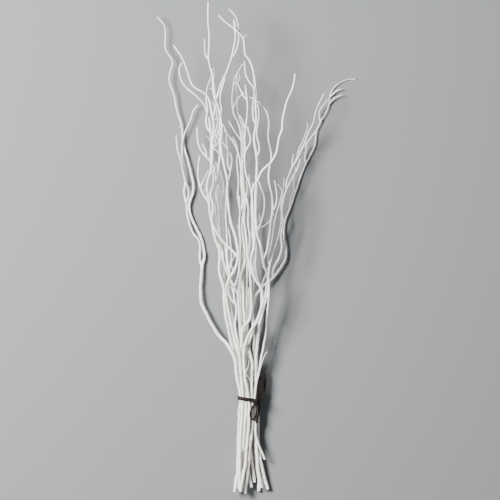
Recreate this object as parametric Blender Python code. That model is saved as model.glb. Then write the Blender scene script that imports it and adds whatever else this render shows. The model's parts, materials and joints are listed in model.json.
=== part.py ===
"""Tied bundle of curly willow branches, lying on its side on a flat surface.

Every branch is one tapered tube with cut ends, and every side shoot is a solid of its own that starts on
the bark of its parent. The routes are drawn by hand on squared paper: across, and up from the foot line.
"""
import math

import bmesh
import bpy
import numpy as np
from mathutils import Vector

BUNDLE_LENGTH = 1.23
PAPER_LENGTH = 492.0
SQUARE = BUNDLE_LENGTH / PAPER_LENGTH
MM = 0.001 / SQUARE

GAP = 0.3 * MM
SIDES = 6
CORNER = 1.05
ROUTE_STEP = 1.5
BEND_TOLERANCE = 0.42
LONGEST_RUN = 26.0
SAMPLE_STEP = 1.0

TIE_Y = 96.0
SHOULDER_Y = 190.0
CROWN_Y = 270.0
WAVE_HEIGHT = 0.9
WAVE_LENGTH = 19.0
ROW_PITCH = 2.8
WAIST_PINCH = 0.15
WAIST_LENGTH = 15.0
WAIST_X = -2.3
TIE_SLOPE = -0.15
CROWN_FULLNESS = 1.12
STEM_RADIUS = 3.55 * MM
TWINE_RADIUS = 2.4 * MM
TURN_PITCH = 5.2 * MM
ARC_STEP = 28.0
TWINE_SIDES = 5

PAINTED_BARK = (0.76, 0.75, 0.71, 1.0)
DARK_TWINE = (0.045, 0.026, 0.018, 1.0)


def clear_scene():
    for thing in list(bpy.data.objects):
        bpy.data.objects.remove(thing, do_unlink=True)


def material(name, colour, roughness):
    made = bpy.data.materials.new(name)
    made.use_nodes = True
    surface = made.node_tree.nodes["Principled BSDF"]
    surface.inputs["Base Color"].default_value = colour
    surface.inputs["Roughness"].default_value = roughness
    surface.inputs["Metallic"].default_value = 0.0
    return made


def points(text):
    return [tuple(float(n) for n in pair.split(",")) for pair in text.split()]


def tie_floor():
    """Lowest centre height of a stem that still leaves room for the twine underneath."""
    return 2.2 * TWINE_RADIUS * CORNER + 2 * GAP + STEM_RADIUS * CORNER


def row_height(row):
    return tie_floor() + row * ROW_PITCH


# Stems, from the lowest in the lying bundle to the highest. Each has its row at the tie (0 is nearest the
# surface), its diameters in mm at the foot, the shoulder and the tip, its heights above the surface in
# squares at the foot, the crown and the tip, and its route from the foot up.
STEMS = {
    "stem_16": (0, (7.6, 5.0, 3.2), (1.6, 4, 6), """2.2,26 1.2,38 0.4,50 0,64 0,80 0,96 0.2,108 -0.5,120
        -1.6,132 -2.6,144 -3.2,156 -3.6,168 -3.8,180 -3.7,193 -3.9,205 -3.7,217 -3.6,229 -3.6,240 -4.2,250
        -5.3,260 -6.3,269 -6.8,278 -6,287 -5.3,295 -4.8,303"""),
    "stem_05": (0, (7.8, 6.6, 3.4), (1.6, 12, 15), """-3.3,12 -3.4,26 -3.6,40 -3.6,56 -3.5,74 -3.5,96
        -4.5,106 -6,118 -8,130 -10,141 -12.6,150 -15,160 -17,170 -19,181 -20.8,192 -22.3,203 -23.5,214
        -24.6,225 -25.8,236 -27,245 -28.6,254 -30,262 -30.7,272 -30.6,282 -29.8,291 -30,299 -31.5,305
        -33,311 -34.8,317 -36,324 -38,331 -41,335.3 -43.5,338.5 -46.5,341.5 -49,344.5 -51,348 -52.3,352
        -53,358 -53.6,363 -53.7,368.5"""),
    "stem_04": (0, (7.8, 7.0, 3.4), (1.6, 18, 24), """-9,10 -8.6,24 -8.2,40 -7.8,56 -7.4,74 -6.9,96
        -7.5,106 -8.6,118 -10,130 -11.5,139 -14,147 -17,155 -19,164 -21,174 -23,184 -24.3,194 -25.5,204
        -26.7,213 -27.4,222 -27.3,231 -28,239 -29,246 -30.3,254 -32,262 -33.3,270 -33.8,278 -34.3,286
        -34.8,294 -34.7,302 -33.8,310 -33,318 -32.5,326 -32.3,334 -31.5,342 -30.8,350 -31.3,358 -31,366
        -30.8,374 -30,381 -29.3,388 -30.4,394 -30.2,400 -28.3,406 -26.7,412 -25.3,419"""),
    "stem_18": (1, (7.6, 5.4, 3.0), (3.2, 9, 12), """-8,6.5 -7.4,20 -6.2,36 -4.8,52 -3.4,68 -2.2,84
        -1.8,96 -2.8,108 -5.2,120 -7.6,132 -9.4,144 -10.2,156 -10.6,168 -11.1,178 -11.8,188 -12.3,197
        -12,205 -11,213 -10,221 -10.2,229 -10.7,238 -10.3,247 -10.6,256 -11.3,265 -11.2,274 -10.8,283
        -11.3,292 -11.3,300"""),
    "stem_03": (1, (8.0, 6.6, 3.2), (3.2, 24, 30), """-13.3,12 -12.8,26 -12,42 -11,58 -10,74 -9,86
        -8.7,96 -9.6,104 -11,112 -12,122 -13.5,132 -15.3,140 -17.5,146 -19.5,152 -20.8,160 -22.8,169
        -24.7,178 -26,188 -26.8,198 -26.8,205 -28.3,213 -30.3,221 -31.8,228.5 -31,236 -31.2,244
        -33.3,250.5 -35.5,257 -37.2,264 -38.3,271 -38.5,277 -38,284 -37.8,291 -39.5,297 -40.3,302
        -38.3,308 -37,314 -37.8,322 -39.5,330 -39.8,338 -39.6,347 -39.8,355 -40.2,362 -40.3,368
        -41.3,375 -42.7,381 -46,388.5 -48,393 -51,396.7 -55,400.3 -59.5,404 -64,408 -67.5,412
        -69.7,417 -71.3,421.5 -71.8,426 -70.8,430 -69,433"""),
    "stem_09": (1, (7.8, 6.2, 2.8), (4.0, 30, 34), """4,13 3.2,19 2,26 1,33 0.3,40 -0.6,48 -1.4,56
        -2.6,66 -4,76 -5,86 -5.2,96 -5.8,106 -7,116 -8.4,125 -9.8,134 -10.4,143 -10.7,152 -9.3,161
        -8.7,170 -8.8,179 -9.5,188 -9.7,197 -9.3,206 -8.8,215 -9.7,224 -9.4,233 -8.8,242 -9.3,250
        -9.8,258 -10.4,266 -10.3,275 -9.5,283 -8.3,291 -8.6,300 -8.9,309 -9.7,318 -9,327 -7.8,336
        -7.6,345 -7.3,354 -7.8,362 -8.5,369 -10,374 -11.5,379 -12.8,384 -13.5,390 -13.5,395 -13.3,400
        -14,404 -14.5,410 -13.8,415 -13.2,420"""),
    "stem_13": (1, (7.8, 5.2, 2.4), (3.0, 20, 26), """8.3,4 8.2,12 7.2,20 6.2,27 5.2,34 4.2,44 3.4,55
        2.8,68 2.2,82 1.7,96 0.5,106 -1.8,116 -4.5,126 -7.5,136 -10,144.5 -12.3,153 -13.5,158 -14.8,164
        -15.8,170 -15.3,175 -14.3,181 -14.3,187 -15.2,195 -17,203 -16,208 -14.5,213 -12.5,220 -11.3,228
        -11,235 -10.6,243 -10,251 -10.3,259 -10.9,266 -11.3,274 -10.6,282 -11.8,292 -12.8,299 -12.8,306
        -12.2,313 -13,320 -13.3,327 -13.8,334 -13.6,341 -12.9,346.5 -14,351 -16,355 -18.2,359"""),
    "stem_17": (1, (7.6, 5.4, 3.0), (3.4, 11, 13), """8.4,22 7.4,34 6.6,48 6,62 5.6,78 5.2,96 5.6,110
        5.4,125 5,140 6,152 7.5,163 8.8,174 9.8,184 10.5,193 10.5,203 8.5,212 6,220 5,229 5,238 5.5,247
        5,256 4.4,265 4.2,275 4,286 4,297 4.5,308"""),
    "stem_01": (2, (8.3, 7.5, 3.2), (4.5, 2.2, 9), """-13,4.5 -13,15 -12.9,25 -12.6,36 -12.5,48 -12.4,58
        -12,68 -11.7,78 -11.6,88 -11.5,96 -12,104 -13,111 -14.2,119 -14.8,127 -15.5,134 -17.5,140.5
        -20.5,146.5 -24,151.5 -27.5,155.5 -31,159 -34,163 -37.5,169 -40.7,174.5 -43.7,180 -46.2,185.5
        -48.6,191 -50,196 -50.2,200 -49.7,205 -49.4,211 -49.4,219 -48.9,226 -47.8,233 -46.4,239.5
        -46.7,245 -48.2,251 -50,256.5 -51.5,262 -53.8,267.5 -57.3,273.5 -59.7,279 -61.2,285 -61.7,290.5
        -60.3,296 -58.3,301.5 -57.3,307 -57.8,313 -59.2,320 -60.8,327 -62.5,333.5 -64,339.5 -65.5,345
        -67.3,350.5 -68.2,356 -68.8,363 -69.2,370 -70.8,376.5 -73,382.5 -74.8,389 -76.2,395.5 -77,401.5
        -79,406.5 -80.5,412 -81.7,418 -80.7,424 -78.9,429 -78.2,433 -80.2,438 -83,442.5 -85.2,447
        -86,452 -85.6,459 -85.5,466 -87.2,471.5 -90,475.5 -94,479.2"""),
    "stem_15": (2, (8.3, 6.0, 2.6), (4.0, 2.2, 2.2), """17.3,6 15,13.5 13.2,20.5 11.4,28 9.7,35.5 8.3,43
        7.6,52 7.3,62 7.5,72 7.8,80 7.6,88 7,96 6.2,108 5.8,115 5.2,125 4.7,134 4,142 3.3,150 3.6,158
        3,165 2.6,172 3,180 3.5,187 3.3,193.5 4.5,198 6.5,202 9.5,206 12,209 15.5,212 19,214.5
        21.5,216.8 24.5,220.5 28,225.5 31.5,230.5 34.3,236 35.7,242 35.5,247.5 34,253 33.3,259 33.7,266
        34,273 36,279.5 38.7,285.5 40.8,291.5 42.8,298 45,304 47.3,310 49.3,316 51.2,321.5 53,327
        55.5,332.5 58.3,338 60.8,343 63,348.5 64.9,353 64.9,359 65.6,363.5 67.5,368.5 69.8,373.5
        72.3,378.5 75.2,383.5 77.5,388 78.3,393 79,398 80.5,402.5 82,406.5 84.8,410 88.5,412.5 93,415
        98,416.9 105,416.8"""),
    "stem_08": (2, (7.8, 6.4, 2.8), (6.0, 38, 46), """1,8 -0.8,15 -1.8,24 -2.8,36 -3,50 -2.7,62 -2.6,74
        -3,86 -3.5,96 -3.5,109 -4,119 -4.8,129 -4.6,139 -5,148 -5,157 -5.3,166 -6,175 -6.8,184 -7.3,193
        -7.3,203 -7.4,213 -7.7,222 -6.6,231 -5.7,240 -6.3,248 -7.2,256 -8.2,264 -8.6,272 -7.5,280
        -5.8,288 -5,296 -4.8,303 -5.3,310 -6.3,318 -6,327 -5.2,335 -5,343 -5.8,350 -6,357 -5.5,363
        -4.8,369 -4.2,375 -3.5,382 -3.3,388 -3.3,394 -3.8,400 -4.8,405 -5.5,410.5"""),
    "stem_07": (2, (8.0, 6.6, 2.8), (3.4, 37, 42), """-10.5,22 -9.4,34 -8.2,46 -7,60 -6.2,76
        -6.8,86 -7,96 -6.8,108 -6.8,121 -7.2,132 -8.2,141 -9.5,150 -10,160 -10.8,170 -11.3,178 -11.8,187
        -12.3,196 -12,204 -10.8,212 -9.5,220 -8,226 -6,231 -3.8,237 -2,242 -1,250 -0.8,258 -1.5,266
        -2.7,274 -2.2,282 -2.2,288 -3.8,294 -5.3,300 -6.5,307 -7.5,318 -8.3,326 -8.6,334 -8.8,342
        -9.3,350 -9.5,358 -10.5,366 -12.3,372 -14.8,377 -16.8,382 -18,387 -18.6,393 -18.5,399 -18,405
        -17.3,411 -16.3,416 -14.3,420.5 -12,424 -10,427.7 -8,431.5"""),
    "stem_10": (2, (8.3, 7.0, 3.7), (7.0, 52, 60), """11,7.5 9.6,15 8.2,22 7,32 6.2,44 5.2,56 4.2,70
        3.7,84 3.5,96 4.5,108 5.3,118 5.2,127 5.7,136 6,145 6.8,153 8,162 9.3,170 10.5,178 12,186 14,193
        16.5,201 18.1,209 18,215 17,221 15.3,226 13.5,230 12.5,236 11.5,242 10.5,248 9,254 7,260
        5.8,266 5.5,273 5.5,280 5,287 5,295 5.3,303 5.5,311 6,318 6,325 6.2,332 6,340 5,346 3.8,352
        3.5,359 4,365 5,371 5.8,377 5.3,383 5,389 5.3,394 5,399 4.8,405 4.3,411 3.8,417 2.8,423 1.5,428
        0.3,432 -1.5,435.5 -4,438.5 -5.8,441.5 -6.7,445 -6.3,449 -6.8,454 -7.8,457.5 -10,460.5
        -12.5,463 -16,465.5 -19.5,469 -23,472 -26.5,474.5 -29,477.5 -32,480"""),
    "stem_14": (3, (5.6, 4.4, 2.4), (8.5, 32, 30), """14.2,36 12,42 9.3,48.5 7,54.5 5.4,60 5,66 5.1,74
        5.2,84 5.2,96 5.7,107 6.8,115 8.3,123 9.3,130 10.3,136 11.5,142 12.8,149 14,156 15.3,163
        15.8,170 16.3,177 17,185 17.8,193 17.8,200 18.3,207 18.6,214 17.9,221 18.5,227 20,233 21.5,238
        23,244 24.8,250 26.5,256 28,262 29.7,268 30.3,274 30.7,279 30.5,285 30.2,291 31,297 31.8,302
        30.8,306 28.8,309 26.8,311.7"""),
    "stem_12": (3, (8.3, 6.2, 3.0), (9.5, 42, 44), """-5.7,1.7 -5.3,8 -4,15.5 -3,23 -2.2,31 -1.6,39
        -0.9,47 -0.2,54 0.8,62 1.6,70 2.4,78 2.5,86 1.7,96 1.2,107 1.3,117 1.5,126 1.5,133 0.7,138
        -0.6,142.6 -1.7,146.6 -1.8,150.6 -0.4,155.4 1.4,160.6 2.3,166 2.4,171 1.9,176 2,183 2,192
        2.4,201 2.6,210 3.3,219 3.5,228 3,236 2.3,243 3,249 2,256 1.8,264 2,272 1.3,281 1,288 1.2,295
        0.3,306 -1.7,312.5 -3.5,318 -5,323 -6,331 -5.6,338 -4.8,345 -2.6,349 -0.8,352.5 -0.2,357
        -1,361.5 -2.3,365 -2.8,369"""),
    "stem_06": (3, (8.3, 6.6, 2.8), (9.5, 47, 48), """-16,3.5 -14.8,13 -13.2,20.5 -11.3,28.5 -9.3,36 -8,43
        -7.2,50 -6.7,58 -6.2,66 -5.6,74 -5.2,82 -4.9,90 -5.2,96 -6.2,104 -7.4,112 -8.3,120 -8.7,130
        -8.8,138 -8.6,147 -8.8,156 -8.5,163 -7.4,168 -5,171.5 -1.5,175.5 0.2,181 0.8,190 0.6,200
        0.1,210 -0.4,220 -1.2,228 -2.2,236 -3,243 -3.8,251 -4.3,259 -5.3,266 -6.3,273 -6.6,281 -6.4,290
        -6.8,299 -7.6,308 -8.8,317 -9.8,326 -10.5,334 -12.3,342 -14,347 -16.3,351.5 -19,355.7 -22,360
        -26.5,365.5"""),
    "stem_02": (3, (8.3, 7.2, 3.2), (9.5, 54, 60), """-11.3,6 -11.2,16 -11,28 -10.9,40 -10.8,52 -10,64
        -9.2,74 -8.9,84 -8.7,96 -9.3,106 -9.5,116 -10,126 -10.8,135 -11.5,142 -13,148.5 -15.5,154.5
        -17.3,161 -18.8,168 -20.3,175.5 -21.8,183 -23.3,191 -24.5,199 -24.5,206.5 -22.8,213 -20.3,219
        -17,224.5 -14.5,229.5 -13,235.5 -12.4,242 -13,248 -14.3,255 -16.3,262 -18.5,269 -20.3,276
        -21.5,284 -22.7,293 -23.5,302 -23,311 -24.2,320 -26,328 -27.7,336 -29.3,344 -30,352 -29.5,361
        -28.9,370 -30.2,378 -32,386 -33.7,392 -35.5,396.5 -37,402 -37.7,409 -37.9,416 -38.8,422
        -40.2,429 -41.7,435 -42,442 -41.6,450 -41.3,459 -41.9,467 -42.5,474 -42.2,481 -42.2,487
        -42.4,493.5"""),
    "stem_11": (3, (8.3, 7.4, 4.0), (10.5, 64, 66), """-10,4 -9.2,11 -7.6,18 -6.2,25 -5.4,33 -4.6,41
        -3.9,49 -3.4,57 -2.6,65 -1.8,72 -1.9,80 -2.2,88 -1.8,96 -3.2,104 -4.8,112 -6,120 -6.4,128
        -6.5,138 -6.3,146 -4.8,153 -2.5,159.5 1,165.5 5,172.5 8.5,180 11,188 12.3,196 12,202 10,208.5
        7,213.5 4,218 2.5,222.5 1.8,228 0.3,235 1,240.5 3,247 4,253 3.3,261 2.5,269 2.8,277 2.3,285
        2.2,293 1.7,300 2,306 3.5,310.5 6,314 8.3,319 10.5,323 13,326.5 17,330 20.5,333.5 23.5,337.5
        25.5,343.5 27,349 27.8,354.5 29,359.5 30.8,364 31.5,370 32,376.5 33.8,383 35,388.5 36.5,394
        38,398.5 40,402 41.5,406 42.8,411 43.8,416 44.5,421.5"""),
}

# Side shoots. Each has its parent, its place in the lowest-to-highest order of the stems (stem 16 is 0, stem
# 11 is 17), its diameters in mm at the fork and the tip, the height of its tip in squares, and its route
# from the parent's centre line outwards.
SHOOTS = {
    "shoot_01a": ("stem_01", 8.2, (4.6, 2.6), 7, """-49.2,224 -50.2,231 -50.9,238 -51,244.5 -50.6,250
        -51.8,255 -54.5,259 -57.5,262.5 -60,268 -61.7,273 -63.2,279 -64.2,285.5 -64.5,292 -65.8,297 -66.8,303
        -66.2,309 -65.8,315 -66.5,321 -67.3,327 -68.2,334 -68.9,340 -68.9,346 -68.5,351 -67.8,356
        -66.3,362 -64.5,367 -62,372 -60,376.5 -58.5,381 -57,386 -52.8,391"""),
    "shoot_01b": ("shoot_01a", 8.4, (3.4, 2.6), 10, """-64.5,291 -62.3,302 -63,307 -65.7,315 -67.8,324
        -70,335 -73.3,346 -74.4,356 -74.6,361"""),
    "shoot_02a": ("stem_02", 15.5, (5.4, 3.3), 40, """-13.2,239.5 -17,243.5 -21.5,248 -26,252.5 -30,257.3
        -33.5,262.5 -36.5,268 -38.7,273.5 -40.4,281 -41.5,290 -42.2,298 -43.6,306 -43.4,313 -41.6,319
        -40,325 -39,332 -38.8,340 -38.5,348 -38.3,356 -37.5,364 -36.9,371 -38.3,379 -39.5,386 -40.8,392
        -42.5,398 -45.5,401.5 -49.5,404.5 -53.8,406.8 -57.5,409.5 -59.8,413.5 -61.3,418 -63.2,424
        -65,429.5 -67.5,435.5 -70.3,441 -77.2,450.8"""),
    "shoot_02b": ("shoot_02a", 15.4, (3.8, 2.8), 38, """-41.4,289 -44,296 -47.5,303 -51.3,311 -52,322
        -52.5,329 -51,340"""),
    "shoot_02c": ("stem_02", 11.8, (4.4, 3.2), 58, """-33.6,391 -33.7,398 -31.9,404.5 -29.8,410.5 -27,417
        -24.3,423 -22,428.5 -20,434.5 -18.6,440 -17.6,445.5 -16.3,452 -15.4,458 -15.4,463.5 -16,469
        -16.8,475"""),
    "shoot_02d": ("shoot_02c", 11.9, (3.4, 2.6), 52, """-18.9,438 -15.8,441.5 -13.8,446.5 -12.8,452 -12.2,458
        -11.6,464 -12.3,470 -13.8,475.5 -15.5,479.5 -18,482.8 -22,486.2"""),
    "shoot_02e": ("stem_02", 15.3, (3.6, 2.8), 40, """-41.2,432 -43.3,437 -45.7,446 -46,456.5"""),
    "shoot_02f": ("shoot_02b", 15.2, (3.2, 2.6), 34, """-50.2,308.6 -46,318 -42.3,325"""),
    "shoot_02g": ("shoot_02a", 15.1, (3.2, 2.6), 40, """-38,377.5 -36,384 -36.3,390 -39.2,396"""),
    "shoot_03a": ("stem_03", 4.5, (4.4, 2.8), 20, """-40.2,361 -43.8,369.5 -44.5,376 -43.6,381.5 -43.4,387
        -44.4,393.5 -44.4,399.5 -43.2,409 -39.6,418.5"""),
    "shoot_05a": ("stem_05", 1.5, (3.2, 2.6), 12, """-43.5,338.5 -44.5,343 -46,347 -48.6,352.5"""),
    "shoot_05b": ("stem_05", 1.4, (3.4, 2.6), 12, """-29.8,291 -28.2,300 -27,308 -28.6,317 -30,325"""),
    "shoot_07a": ("stem_07", 11.3, (5.4, 3.0), 30, """-12.2,194 -13.2,200 -14.6,205 -17,210 -19.4,214.5
        -22,220.5 -24.4,226 -26.4,231.5 -27.6,238 -28.4,245"""),
    "shoot_08a": ("stem_08", 11.2, (3.8, 2.8), 40, """-3.3,391 -6,398.5 -10.5,406.5 -13.3,413.5"""),
    "shoot_08b": ("stem_08", 11.1, (3.2, 2.6), 40, """-5.3,365 -8,375 -11,380.5"""),
    "shoot_09a": ("stem_09", 5.4, (3.6, 2.6), 34, """-7.5,352 -10.8,358 -15,364.3 -22.2,374.7"""),
    "shoot_10a": ("stem_10", 12.2, (3.8, 2.8), 66, """6.1,337 8.8,346.5 7.4,353 6.2,359 7.2,370 8.2,379 8,387
        6.8,391"""),
    "shoot_10b": ("stem_10", 12.3, (3.8, 2.8), 56, """5,367 3.2,376 2.2,385 2.2,393 2.6,401 3,407 0.8,411
        -2,414.5 -4.3,419 -5.5,424 -6.1,434.5"""),
    "shoot_10c": ("stem_10", 12.1, (4.0, 2.8), 46, """6.2,264 10.5,273 12.2,286 13.7,297 10.8,305 7,317"""),
    "shoot_10d": ("stem_10", 11.5, (5.2, 2.8), 48, """12.8,233 14.5,240 16,247.5 17.5,254 18.7,261 19.7,268.5
        20.5,276 21.5,283 22,290 21.6,297 20.5,303 18.8,311 17.8,320 19,330 20.6,340 19.9,346.5 18.6,352
        17.5,358 17.9,363 18.3,368 18.2,373.5 17.3,379 15.8,384 13,388 6.5,394.3 -1,398.7"""),
    "shoot_10e": ("shoot_10d", 11.6, (3.4, 2.6), 44, """21.5,283 24.5,289 25.9,295 25.9,301 24,315.3"""),
    "shoot_13a": ("stem_13", 6.5, (4.6, 2.6), 26, """-14.3,186 -16.5,192 -19.5,196.5 -21.8,201 -22.2,206
        -22,212 -21.3,219 -21.5,226 -23,232 -23.8,238 -23.7,246 -23.5,254 -24,263 -24.5,272 -24.8,281
        -25,290 -24.8,297 -24,303 -23,310 -22,317 -20.5,324 -19.4,330.5 -18.8,337 -19.6,340.5
        -21.3,343.3 -24,347.7 -27.5,352.5 -36,361.5"""),
    "shoot_13b": ("shoot_13a", 6.6, (3.4, 2.6), 26, """-21.2,321 -21.9,330 -22.5,338 -23,346 -24,352
        -24.4,357 -23.9,362 -27.7,371.7"""),
    "shoot_13c": ("shoot_13a", 6.4, (3.4, 2.6), 22, """-21.4,222 -20.4,230 -20.5,238 -20.2,246 -20.2,254
        -22,266 -24.2,276"""),
    "shoot_13d": ("stem_13", 6.3, (3.4, 2.6), 20, """-17,202 -19.2,209 -21,215 -22.6,221 -23.7,229 -24.3,237
        -25.8,250"""),
    "shoot_14a": ("stem_14", 12.8, (4.0, 2.8), 32, """17.9,221 18,230 18.9,238 20.5,249 22,259 23.5,269 25,279
        28,289 31.8,304"""),
    "shoot_15a": ("stem_15", 9.1, (3.2, 2.8), 5, """78.6,395 83.5,403.3 91,407.2"""),
    "shoot_15b": ("stem_15", 9.2, (3.2, 2.6), 6, """77.9,390.5 83.5,397.6 91.5,401.2"""),
    "shoot_15c": ("stem_15", 9.3, (3.2, 2.6), 7, """69.8,373.5 69.1,380 69.3,385 77.3,396.6"""),
    "shoot_15d": ("stem_15", 9.4, (3.2, 2.6), 6, """52.7,326.5 54.8,336 56.5,351"""),
    "shoot_15e": ("stem_15", 9.6, (5.0, 2.8), 22, """19.5,214.8 22,221 22.8,226.5 27.5,236 31,246 31,253
        30.5,260 31.5,266 32.5,272 32,278 31.4,285 32.7,294 34.5,302 37.5,309.5 41,316.5 44.5,323.5
        47.8,330 49.2,335 49.5,340 52,345.5 56,352 61.5,360 67,367.5"""),
    "shoot_15f": ("shoot_15e", 9.7, (3.8, 2.6), 26, """34.6,302.5 36.3,314.5 40,325 43.5,331.5 47.3,337.5
        50.4,344 53.2,351 56,358 58.8,365 61,369.5 63,374 64,380 65.7,385.5 73.6,402.5"""),
    "shoot_15g": ("shoot_15f", 9.8, (3.2, 2.6), 24, """39,322.5 41.4,330.5 43,342"""),
}

# The loose twine of the bow: its place in the order, above every stem, its height in squares at the start
# and the end, and its route. Each strand starts and ends just outside the knot.
BOW = {
    "twine_loop_upper": (31, (14, 13), """6.2,98.1 6.6,103 7.2,108 7.7,113 8.5,117.8 9.9,119.6 11.2,118
        11.4,113.5 10.8,108 9.9,103 8.8,98.6"""),
    "twine_loop_lower": (32, (13, 12), """3.7,91.2 2.3,88.8 0.5,86 -0.4,83 -0.4,80 0.6,77.2 2.4,75.6
        4.2,77.2 5.1,80 5.4,83.5 5.7,87.5 6,91.2"""),
    "twine_tail_upper": (33, (12, 9), """10.9,96.6 12.6,101 13.7,107 13.9,112 14.2,117 14.8,121.6"""),
    "twine_tail_lower": (34, (13, 8), """8.2,91.6 8,88 7.8,84 7.4,80 6.9,76.5 5.6,72.5"""),
}
KNOT_PLACE = (4.9, 94.4)
KNOT_SIZE = (2.9, 2.1, 1.7)


def smooth(route, step):
    """A flowing curve through the drawn points, cut into short equal steps."""
    p = np.array(route, dtype=float)
    p = np.vstack([2 * p[0] - p[1], p, 2 * p[-1] - p[-2]])
    out = [p[1]]
    for i in range(1, len(p) - 2):
        a, b, c, d = p[i - 1], p[i], p[i + 1], p[i + 2]
        cuts = max(2, int(np.linalg.norm(c - b) / step))
        for n in range(1, cuts + 1):
            t = n / cuts
            bend = 2 * b + (c - a) * t + (2 * a - 5 * b + 4 * c - d) * t ** 2
            bend = bend + (3 * b - a - 3 * c + d) * t ** 3
            out.append(0.5 * bend)
    return np.array(out)


def thin_out(curve, tolerance):
    """Keep the fewest points that hold the curve within the tolerance, with no run too long."""
    keep = {0, len(curve) - 1}
    spans = [(0, len(curve) - 1)]
    while spans:
        first, last = spans.pop()
        if last - first < 2:
            continue
        chord = curve[last] - curve[first]
        size = max(float(np.hypot(chord[0], chord[1])), 1e-6)
        away = curve[first + 1:last] - curve[first]
        off = np.abs(away[:, 0] * chord[1] - away[:, 1] * chord[0]) / size
        worst = int(np.argmax(off))
        if off[worst] < tolerance:
            if size < LONGEST_RUN:
                continue
            worst = (last - first) // 2 - 1
        middle = first + 1 + worst
        keep.add(middle)
        spans.append((first, middle))
        spans.append((middle, last))
    return curve[sorted(keep)]


def drop_crowded(path, least):
    """Leave out rings that stand closer to the ring before than the tube is thick."""
    kept = [path[0]]
    for point in path[1:-1]:
        if np.linalg.norm(point - kept[-1]) >= least and np.linalg.norm(point - path[-1]) >= least:
            kept.append(point)
    kept.append(path[-1])
    return np.array(kept)


def nearest_on(path, point):
    """Distance from a point to a path in plan, the segment it falls on and how far along that segment."""
    start = path[:-1]
    run = path[1:] - start
    t = ((point - start) * run).sum(1) / np.maximum((run * run).sum(1), 1e-9)
    t = np.clip(t, 0.0, 1.0)
    gap = np.linalg.norm(start + run * t[:, None] - point, axis=1)
    best = int(np.argmin(gap))
    return float(gap[best]), best, float(t[best])


class Branch:
    """A tube: the plan position, radius and height of every ring."""

    def __init__(self, name, order, plan, radius):
        self.name = name
        self.order = order
        self.plan = plan
        self.radius = radius
        self.along = np.concatenate([[0.0], np.cumsum(np.linalg.norm(np.diff(plan, axis=0), axis=1))])
        self.parent = None
        self.root = (0, 0.0)
        self.fork = plan[0]
        self.tip_height = 0.0
        self.wish = np.zeros(len(plan))
        self.z = np.zeros(len(plan))

    def radius_at(self, place):
        i, t = place
        return self.radius[i] * (1 - t) + self.radius[i + 1] * t

    def height_at(self, place):
        i, t = place
        return self.z[i] * (1 - t) + self.z[i + 1] * t


def pinched(curve):
    """The stems crowd together where the twine holds them."""
    near = np.exp(-((curve[:, 1] - TIE_Y) / WAIST_LENGTH) ** 2)
    across = WAIST_X + (curve[:, 0] - WAIST_X) * (1 - WAIST_PINCH * near)
    return np.column_stack([across, curve[:, 1]])


def stem_branch(name, order):
    row, sizes, heights, text = STEMS[name]
    curve = pinched(smooth(points(text), ROUTE_STEP))
    plan = drop_crowded(thin_out(curve, BEND_TOLERANCE), 3.6)
    foot_y = plan[0][1]
    tip_y = plan[-1][1]
    y = plan[:, 1]
    tie_size = min(sizes[0], 2 * STEM_RADIUS / MM)
    shoulder = sizes[1] * CROWN_FULLNESS
    tip = sizes[2] * CROWN_FULLNESS
    size = np.interp(y, [foot_y, TIE_Y, SHOULDER_Y - 35, tip_y], [sizes[0], tie_size, shoulder, tip])
    branch = Branch(name, order, plan, size / 2 * MM)
    level = row_height(row)
    places = [foot_y, TIE_Y - 10, TIE_Y + 10, CROWN_Y, tip_y]
    branch.wish = np.interp(y, places, [heights[0], level, level, heights[1], heights[2]])
    loose = np.clip((y - 130) / 60, 0, 1)
    branch.wish = branch.wish + WAVE_HEIGHT * np.sin(branch.along / WAVE_LENGTH + 2.1 * order) * loose
    branch.wish = np.maximum(branch.wish, branch.radius * CORNER)
    branch.z = branch.wish.copy()
    return branch


def shoot_branch(name, made):
    parent_name, order, sizes, tip_height, text = SHOOTS[name]
    parent = made[parent_name]
    curve = smooth(points(text), 0.4)
    radius = sizes[0] * CROWN_FULLNESS / 2 * MM
    start = 0
    for i, point in enumerate(curve):
        away, seg, t = nearest_on(parent.plan, point)
        if away >= (radius + parent.radius_at((seg, t))) * CORNER + 1.4 * GAP:
            start = i
            break
    curve = curve[start:]
    plan = drop_crowded(thin_out(curve, BEND_TOLERANCE), 2.6)
    run = np.concatenate([[0.0], np.cumsum(np.linalg.norm(np.diff(plan, axis=0), axis=1))])
    size = np.interp(run / run[-1], [0, 1], sizes) * CROWN_FULLNESS
    branch = Branch(name, order, plan, size / 2 * MM)
    branch.parent = parent
    away, seg, t = nearest_on(parent.plan, plan[0])
    branch.root = (seg, t)
    branch.tip_height = tip_height
    aim_shoot(branch)
    branch.z = branch.wish.copy()
    return branch


def aim_shoot(branch):
    """A shoot leaves its parent at the parent's own height and drifts to the height of its tip."""
    base = branch.parent.height_at(branch.root)
    share = np.clip(branch.along / branch.along[-1], 0, 1)
    wave = 0.8 * np.sin(branch.along / 15.0 + branch.order) * np.clip(branch.along / 30.0, 0, 1)
    branch.wish = np.maximum(base * (1 - share) + branch.tip_height * share + wave, branch.radius * CORNER)


def samples(branch):
    """Points every short step along the tube, each tied to the two rings it lies between."""
    rows = []
    for i in range(len(branch.plan) - 1):
        length = branch.along[i + 1] - branch.along[i]
        cuts = max(1, int(math.ceil(length / SAMPLE_STEP)))
        for n in range(cuts):
            rows.append((i, n / cuts))
    rows.append((len(branch.plan) - 2, 1.0))
    return rows


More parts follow.
